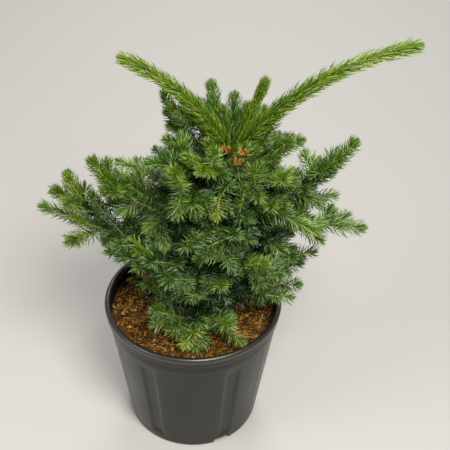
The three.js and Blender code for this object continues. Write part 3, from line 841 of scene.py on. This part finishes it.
def makeScales():
    strands = Strands()

    def addScales(path, size, lean, tint, keep=1.0):
        strands.add(np.array(path), size=size, lean=np.radians(lean), keep=keep, tint=tint)

    for name in trunkSprays:  # a collar at each foot
        run = masses[name].runs[0]
        for foot in collar.feet:
            ends = [placeOn(run, reach / run.length) for reach in (foot, foot + collar.length)]
            addScales(ends, collar.size, collar.lean, collar.tint)
    foot, tip = placeOn(trunkRun, crownBud.foot), placeOn(trunkRun, 1)
    for turn, lean in enumerate(crownBud.leans):
        addScales((foot, tip + (0, 0, turn)), crownBud.size, lean, crownBud.tint)
    for stub in budStubs:
        for i in range(cluster.count):
            out = np.array((cos(cluster.turn * i), sin(cluster.turn * i), 0)) + cluster.shift
            foot = placeOn(stub, 1) + cluster.spread * out - np.array(cluster.drop) * i
            tip = foot + cluster.reach * out + cluster.rise
            addScales((foot, tip), cluster.size, cluster.lean, cluster.tints[0] + cluster.tints[1] * i, cluster.keep)
    for spot, heading, form in scars:
        reach = woodForms[form][2]
        if reach:
            path = [spot + heading * reach * (share - 0.5) for share in (0, 0.5, 1)]
            addScales(path, scar.size, scar.lean, scar.tint)
    tree = needleTree("bud scales", scaleForm, plainMaterials("scale_", scaleColours, 0.6))
    strands.piece("bud_scales", tree, "bark")


makeTwigs()
makeScales()
print("twigs and bud scales made")


# Bark of the trunk and boughs

barkLook = Plan(
    dark=(0.055, 0.034, 0.020), light=(0.21, 0.135, 0.080), rough=(0.75, 0.95), patch=60, grain=900,
    share=0.55, range=(0.38, 0.62), relief=0.5,
)
limbs = Plan(
    trunkSides=48, boughSides=18, step=1.3, flare=1.25, plate=(5, 5, 9), furrowWidth=0.35,
    furrow=0.9, scale=0.55, scaleSize=0.45, fullRadius=9, relief=0.6, wander=0.5,
    swell=(0.05, 0.05, 0.04), flareEnd=0.12, trunkSeed=1.5, boughSeed=7.3,
)


def limbMesh(path, radii, sides, seed, verts, faces):  # a closed tube with furrows
    first = len(verts)
    shift = np.array((0, 0, seed))
    frameX = np.array((0.3, 1, 0.2))
    for k, (point, radius) in enumerate(zip(path, radii)):
        ahead = unit(path[min(k + 1, len(path) - 1)] - path[max(k - 1, 0)])
        if k == 0:
            frameX = np.cross(ahead, frameX)
        frameX = unit(frameX - ahead * (frameX @ ahead))
        frameY = np.cross(ahead, frameX)
        for i in range(sides):
            a = 2 * pi * i / sides
            out = frameX * cos(a) + frameY * sin(a)
            spot = point + out * radius
            plate = noise.voronoi(Vector(spot / limbs.plate + shift))[0]
            furrow = min(plate[1] - plate[0], limbs.furrowWidth) / limbs.furrowWidth - 0.5
            grain = noise.noise(Vector(spot) * limbs.scaleSize + Vector(shift))
            swell = noise.noise(Vector(spot * limbs.swell + shift))
            share = min(radius / limbs.fullRadius, 1) * limbs.relief
            lift = (limbs.furrow * furrow + limbs.scale * grain) * share
            verts.append((point + out * (radius + lift + limbs.wander * swell)) * mm)
    rings = len(path)
    for a in range(first, first + (rings - 1) * sides, sides):
        faces += [(a + i, a + (i + 1) % sides, a + sides + (i + 1) % sides, a + sides + i) for i in range(sides)]
    faces.append(tuple(first + i for i in reversed(range(sides))))
    faces.append(tuple(first + (rings - 1) * sides + i for i in range(sides)))


def makeBark():
    bark = mottledMaterial("bark", barkLook)
    verts, faces = [], []
    path = smoothPath(trunkRun, limbs.step)
    radii = [radiusOn(trunk.radii, share) for share in np.linspace(0, 1, len(path))]
    limbMesh(path, radii, limbs.trunkSides, limbs.trunkSeed, verts, faces)
    settlePiece(newPiece("trunk_bark", verts, faces, bark), "bark", "trunk")
    verts, faces = [], []
    ends = bough.rootRadius * limbs.flare, bough.rootRadius, bough.tipRadius
    for number, run in enumerate(boughs.values()):
        path = smoothPath(run, limbs.step)
        radii = np.interp(np.linspace(0, 1, len(path)), (0, limbs.flareEnd, 1), ends)
        limbMesh(path, radii, limbs.boughSides, limbs.boughSeed * number, verts, faces)
    settlePiece(newPiece("bough_bark", verts, faces, bark), "bark", *boughs)


makeBark()
print("bark made")


# Pot

potPlastic = Plan(
    dark=(0.0085, 0.0095, 0.007), light=(0.0225, 0.022, 0.016), rough=(0.27, 0.42), patch=11,
    grain=700, share=0.3, range=(0.36, 0.7), relief=0.12, gloss=0.4,
)
potRim = Plan(rough=(0.34, 0.44), gloss=0.9)
pot = Plan(
    base=(8, 107), shoulder=(200, 134.5), wall=2.4, flutes=6, fluteDepth=2.6, fluteEdge=(2.6, 6.9),
    flutedFrom=14, flutedTo=197, fade=11, crease=0.7, creaseWidth=1.6, wallReach=3, rimFrom=228.3,
    columns=(-6.9, -6.2, -5.4, -4.6, -3.7, -2.6, 0, 2.6, 3.7, 4.6, 5.4, 6.2, 6.9, 8.7, 11, 14, 17, 20, 23, 26, 28,
                29, 30, 31, 32, 34, 37, 40, 43, 46, 49, 51.5),
    foot=((0, 0.8), (60, 0.8), (94, 0.4), (99, 0), (103.2, 0), (104.6, 0.5), (105.6, 1.6), (106.6, 5)),
    floor=((101, 5), (97, 3), (60, 3), (0, 3)),
    rim=((134.3, 198.6), (134.4, 199.9), (134.8, 200.8), (135.1, 201.6), (135.2, 204), (135.3, 208), (135.4, 213),
            (135.6, 216.2), (136.1, 217.2), (137.5, 217.9), (138.7, 218.4), (139.3, 219.4), (139.6, 221), (139.8, 224),
            (140, 227.2), (140.2, 228.2), (140.8, 229.5), (141.3, 231.2), (141.5, 232.9), (141.2, 234.6),
            (140.3, 236.1), (139, 237.2), (137.4, 237.8), (135.7, 237.7), (134.2, 237), (133.1, 235.8),
            (132.6, 234), (132.6, 230), (132.8, 222), (132.8, 214), (132.6, 201), (132.1, 198)),
)
notch = Plan(width=27, height=11, depth=26, reach=112, turn=-2, flutes=(1, 3, 5), corner=3)


def potSideAt(z):
    (lowZ, lowRadius), (highZ, highRadius) = pot.base, pot.shoulder
    return lowRadius + (highRadius - lowRadius) * (z - lowZ) / (highZ - lowZ)


def eased(share):
    share = min(max(share, 0), 1)
    return share * share * (3 - 2 * share)


def fluteShare(z):  # 1 where the grooves are at their full depth
    return eased(min(z - pot.flutedFrom, pot.flutedTo - z) / pot.fade)


def fluteSink(turn):  # of the groove at 0 and the crease half way on
    low, high = pot.fluteEdge
    crease = max(1 - abs(turn - 180 / pot.flutes) / pot.creaseWidth, 0)
    return pot.fluteDepth * eased((high - abs(turn)) / (high - low)) - pot.crease * crease


def latheMesh(profile, angles, radiusAt):  # the first and last points lie on the axis
    verts, faces = [(0, 0, profile[0][1] * mm)], []
    for radius, z in profile[1:-1]:
        for a in angles:
            r = radiusAt(radius, z, a)
            verts.append((r * cos(a) * mm, r * sin(a) * mm, z * mm))
    verts.append((0, 0, profile[-1][1] * mm))
    n, last = len(angles), 1 + (len(profile) - 3) * len(angles)
    for i in range(n):
        j = (i + 1) % n
        faces.append((0, 1 + j, 1 + i))
        faces += [(a + i, a + j, a + n + j, a + n + i) for a in range(1, last, n)]
        faces.append((last + i, last + j, last + n))
    return verts, faces


def potProfile():
    low, high, fade = pot.flutedFrom, pot.flutedTo, pot.fade
    heights = [low + fade * i / 6 for i in range(7)] + [40 + 22 * i for i in range(7)]
    heights += [high - fade * (6 - i) / 6 for i in range(7)]
    outer = [(potSideAt(z), z) for z in [8.5] + heights]
    inner = [(potSideAt(z) - pot.wall, z) for z in reversed(heights)]
    return [*pot.foot, *outer, *pot.rim, *inner, (potSideAt(11) - 3.2, 11), *pot.floor]


def cutNotches(piece):
    cutter = bmesh.new()
    for flute in notch.flutes:
        turn = radians(flute * 360 / pot.flutes + notch.turn)
        place = Matrix.Rotation(turn, 4, "Z") @ Matrix.Translation((notch.reach * mm, 0, 0))
        size = Matrix.Diagonal((notch.depth * mm, notch.width * mm, notch.height * 2 * mm, 1))
        box = bmesh.ops.create_cube(cutter, size=1, matrix=place @ size)
        corners = []
        for edge in {e for v in box["verts"] for e in v.link_edges}:
            a, b = (place.inverted() @ v.co for v in edge.verts)
            if a.z > 0 and abs(a.z - b.z) < 1e-6 and abs(a.y - b.y) < 1e-6:
                corners.append(edge)
        bmesh.ops.bevel(cutter, geom=corners, offset=notch.corner * mm, segments=4, profile=0.5, affect="EDGES")
    mesh = bpy.data.meshes.new("notches")
    cutter.to_mesh(mesh)
    cutter.free()
    tool = addObject("notches", mesh)
    cut = piece.modifiers.new("notches", "BOOLEAN")
    cut.object, cut.operation, cut.solver = tool, "DIFFERENCE", "EXACT"
    applyModifiers(piece)
    bpy.data.objects.remove(tool)


def makePot():
    sector = 360 / pot.flutes
    sinks = {radians(f * sector + d): fluteSink(d) for f in range(pot.flutes) for d in pot.columns}

    def radiusAt(radius, z, angle):
        isWall = abs(radius - potSideAt(z)) < pot.wallReach and z < pot.flutedTo + 1
        return radius - sinks[angle] * fluteShare(z) if isWall else radius

    shell = latheMesh(potProfile(), list(sinks), radiusAt)
    piece = newPiece("pot_shell", *shell, mottledMaterial("plastic", potPlastic))
    cutNotches(piece)
    piece.data.materials.append(mottledMaterial("rim plastic", Plan(potPlastic, **potRim)))
    for face in piece.data.polygons:
        face.material_index = int(face.center.z > pot.rimFrom * mm)
    piece.data.set_sharp_from_angle(angle=radians(40))
    settlePiece(piece, "pot", "pot")


makePot()
print("pot made")


# Growing medium

soilLook = Plan(
    dark=(0.026, 0.013, 0.0025), light=(0.15, 0.075, 0.012), rough=(0.85, 1.0), patch=40, grain=600,
    share=0.5, range=(0.4, 0.6), relief=0.8,
)
soil = Plan(
    top=214, wall=131.7, wallFrom=200, edge=1.5, heights=(26, 100, 188), base=3.3, baseRadius=95, rings=44, sides=132,
    mound=3.0, moundRadius=45, lumps=2.2, lumpScale=0.06, fine=0.9, fineScale=0.3,
)
chipColours = {
    "umber": (0.05, 0.021, 0.003), "rust": (0.17, 0.063, 0.006), "orange": (0.37, 0.145, 0.012),
    "tan": (0.43, 0.205, 0.03), "straw": (0.60, 0.39, 0.11),
}
chipForm = {
    "Density": 64000.0, "Chip Size": 0.005, "Roughness": 0.0022, "Noise Scale": 300.0, "Edge": 0.127,
    "Patch Scale": 26.0, "Patch Darkness": 2.8, "Seed": 21,
}
fibres = Plan(
    count=950, length=(7, 24), radius=(0.25, 0.75), seed=77, reach=126, edge=129, lift=(1.5, 5.5),
    rise=0.9, liftLength=26, curl=1.6, taper=(0.5, 0.9, 1, 1, 0.8, 0.4),
)


def soilHeight(x, y):
    mound = soil.mound * exp(-(x * x + y * y) / soil.moundRadius ** 2)
    lumps = noise.noise(Vector((x, y, 4)) * soil.lumpScale) * soil.lumps
    return soil.top + mound + lumps + noise.noise(Vector((x, y, 9)) * soil.fineScale) * soil.fine


def makeSoilBody():
    top, wall, rings, sides = (soil[label] for label in ("top", "wall", "rings", "sides"))
    clear = pot.wall + pot.fluteDepth + gap
    profile = [(0, soil.base), (soil.baseRadius, soil.base)]
    profile += [(potSideAt(z) - clear, z) for z in soil.heights] + [(wall, soil.wallFrom), (wall, top - soil.edge)]
    profile += [(wall * (1 - i / rings), top) for i in range(rings)] + [(0, soilHeight(0, 0))]
    angles = [2 * pi * i / sides for i in range(sides)]
    verts, faces = latheMesh(profile, angles, lambda radius, z, angle: radius)
    for i, (x, y, z) in enumerate(verts[:-1]):
        if z > (top - 0.5) * mm:
            verts[i] = (x, y, soilHeight(x / mm, y / mm) * mm)
    piece = newPiece("medium_body", verts, faces, mottledMaterial("medium", soilLook))
    settlePiece(piece, "growing_medium", "growing_medium")
    return piece


def chipTree(name, values, materials):
    t = shapeTree(name, values)
    slab = t.put("MeshCone", 5, Radius_Top=0.62, Radius_Bottom=1.0, Depth=0.8)
    x, y, _ = t.parts(t.put("InputPosition"))
    reach = t.calc("SQRT", t.calc("ADD", t.calc("POWER", x, 2.0), t.calc("POWER", y, 2.0)))
    isTop = t.calc("GREATER_THAN", t.parts(t.put("InputNormal"))[2], 0.5)
    isTop = t.times(isTop, t.calc("LESS_THAN", reach, t["Edge"]))
    cloud = t.put("DistributePointsOnFaces", t["Geometry"], isTop, Density=t["Density"], Seed=t["Seed"])
    patch = t.put("ShaderNodeTexNoise", Scale=t["Patch Scale"], Detail=1.0)
    patch = t.times(t.calc("SUBTRACT", patch, 0.55), t.times(t["Patch Darkness"], 5.0))
    tint = t.times(t.calc("POWER", t.chance(0.0, 1.0, 1), 2.1), 4.99)
    tint = t.calc("MAXIMUM", t.calc("SUBTRACT", tint, t.calc("MAXIMUM", patch, 0.0)), 0.0)
    cloud = t.store(cloud, "tint", t.calc("FLOOR", tint))
    size = t.times(t["Chip Size"], t.scaled(t.calc("POWER", t.chance(0.0, 1.0, 2), 2.2), 1.2, 0.3))
    size = t.vector(size, t.times(size, t.chance(0.15, 0.42, 3)), t.times(size, t.chance(0.2, 0.5, 4)))
    turn = t.vector(t.chance(-0.7, 0.7, 5), t.chance(-0.45, 0.45, 6), t.chance(0.0, 6.28, 7))
    turn = t.put("FunctionNodeEulerToRotation", turn)
    chips = t.put("RealizeInstances", t.put("InstanceOnPoints", cloud, Instance=slab, Rotation=turn, Scale=size))
    ripple = t.add("ShaderNodeTexNoise", Scale=t["Noise Scale"], Detail=1.0).outputs["Color"]
    shift = t.put("ShaderNodeVectorMath", ripple, (0.5, 0.5, 0.5), operation="SUBTRACT")
    shift = t.put("ShaderNodeVectorMath", shift, Scale=t["Roughness"], operation="SCALE")
    return t.deal(t.put("SetPosition", chips, Offset=shift), materials)


def makeFibres(materials):
    strands = Strands()
    draw = makeRandom(fibres.seed)
    for _ in range(fibres.count):
        reach, around = fibres.reach * sqrt(draw()), 2 * pi * draw()
        x, y = reach * cos(around), reach * sin(around)
        length = between(fibres.length, draw() ** 2)
        heading, curl, lift = 2 * pi * draw(), fibres.curl * (draw() - 0.5), between(fibres.lift, draw())
        points = []
        for share in np.linspace(0, 1, len(fibres.taper)):
            z = soilHeight(x, y) + fibres.rise + lift * sin(pi * share) * length / fibres.liftLength
            points.append(np.array((x, y, z)))
            step = length / (len(fibres.taper) - 1)
            x += cos(heading + curl * share) * step
            y += sin(heading + curl * share) * step
        if all(hypot(p[0], p[1]) < fibres.edge for p in points):
            radius = between(fibres.radius, draw() ** 2)
            strands.add(points, radius=np.array(fibres.taper) * radius * mm,
                        tint=float(floor(1 + 4 * draw() ** 0.9)))
    strands.piece("medium_fibres", strandTree("fibres", 4, materials), "growing_medium")


def makeMedium():
    body = makeSoilBody()
    materials = plainMaterials("chip_", chipColours, 0.85, 0.1)
    chips = addObject("medium_chips", body.data.copy())
    settlePiece(runTree(chips, chipTree("chips", chipForm, materials)), "growing_medium")
    makeFibres(materials)


makeMedium()
print("growing medium made")


# Floor

ground = Plan(half=6, colour=(0.64, 0.615, 0.575), rough=0.6)


def makeFloor():
    half = ground.half
    corners = [(-half, -half, 0), (half, -half, 0), (half, half, 0), (-half, half, 0)]
    material = plainMaterial("floor", ground.colour, ground.rough)
    newPiece("floor", corners, [(0, 1, 2, 3)], material)


makeFloor()
